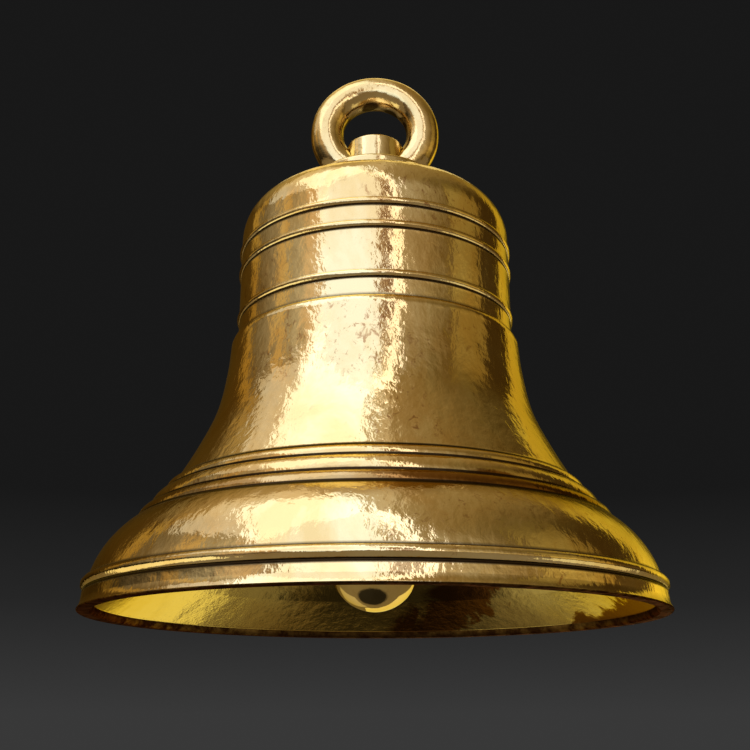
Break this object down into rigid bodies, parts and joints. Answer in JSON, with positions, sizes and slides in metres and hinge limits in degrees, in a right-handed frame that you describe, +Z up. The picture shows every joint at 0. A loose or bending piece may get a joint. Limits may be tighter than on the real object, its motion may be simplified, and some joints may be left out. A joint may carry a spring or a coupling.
{
  "type": "church bell",
  "caption": "Turned brass church bell with a crown ring to hang it by and a pivoted ball clapper that swings inside and strikes the sound bow.",
  "frame": {"origin": "centre of the mouth in the plane of the lip", "axes": "+Z up along the bell's axis; Y along the axis of the crown ring and of the clapper's pivot, so the clapper swings in the X-Z plane"},
  "size_m": [0.6, 0.6, 0.653],
  "materials": {
    "bell_brass": "hand-polished cast metal with fine scratches and soft hammering",
    "crown_brass": "polished",
    "ball_brass": "mirror polished",
    "bush_bronze": "turned, oiled",
    "forged_steel": "blackened forging",
    "bright_steel": "turned, dull zinc",
    "leather": "compressed belt leather"
  },
  "bodies": {
    "bell": {"bell_body": "bell_brass", "crown_ring": "crown_brass", "crown_eye_bolt": "crown_brass", "crown_plate": "crown_brass", "crown_pad": "leather", "plate_dowels": "bright_steel", "inner_pad": "leather", "clapper_staple": "forged_steel", "staple_dowels": "bright_steel", "crown_washer": "bright_steel", "crown_nut": "bright_steel", "crown_split_pin": "bright_steel", "pivot_bolt": "bright_steel", "pivot_washers": "bright_steel", "pivot_nut": "bright_steel", "pivot_split_pin": "bright_steel", "thrust_washers": "bush_bronze"},
    "clapper": {"clapper_shaft": "forged_steel", "clapper_bush": "bush_bronze", "clapper_ball": "ball_brass", "ball_lock_nut": "bright_steel", "ball_retaining_pin": "ball_brass"}
  },
  "joints": [
    {"name": "clapper_swing", "type": "hinge", "parent": "bell", "child": "clapper", "pos_m": [0, 0, 0.386], "axis": [0, 1, 0], "range_deg": [-28.2, 28.2]}
  ]
}
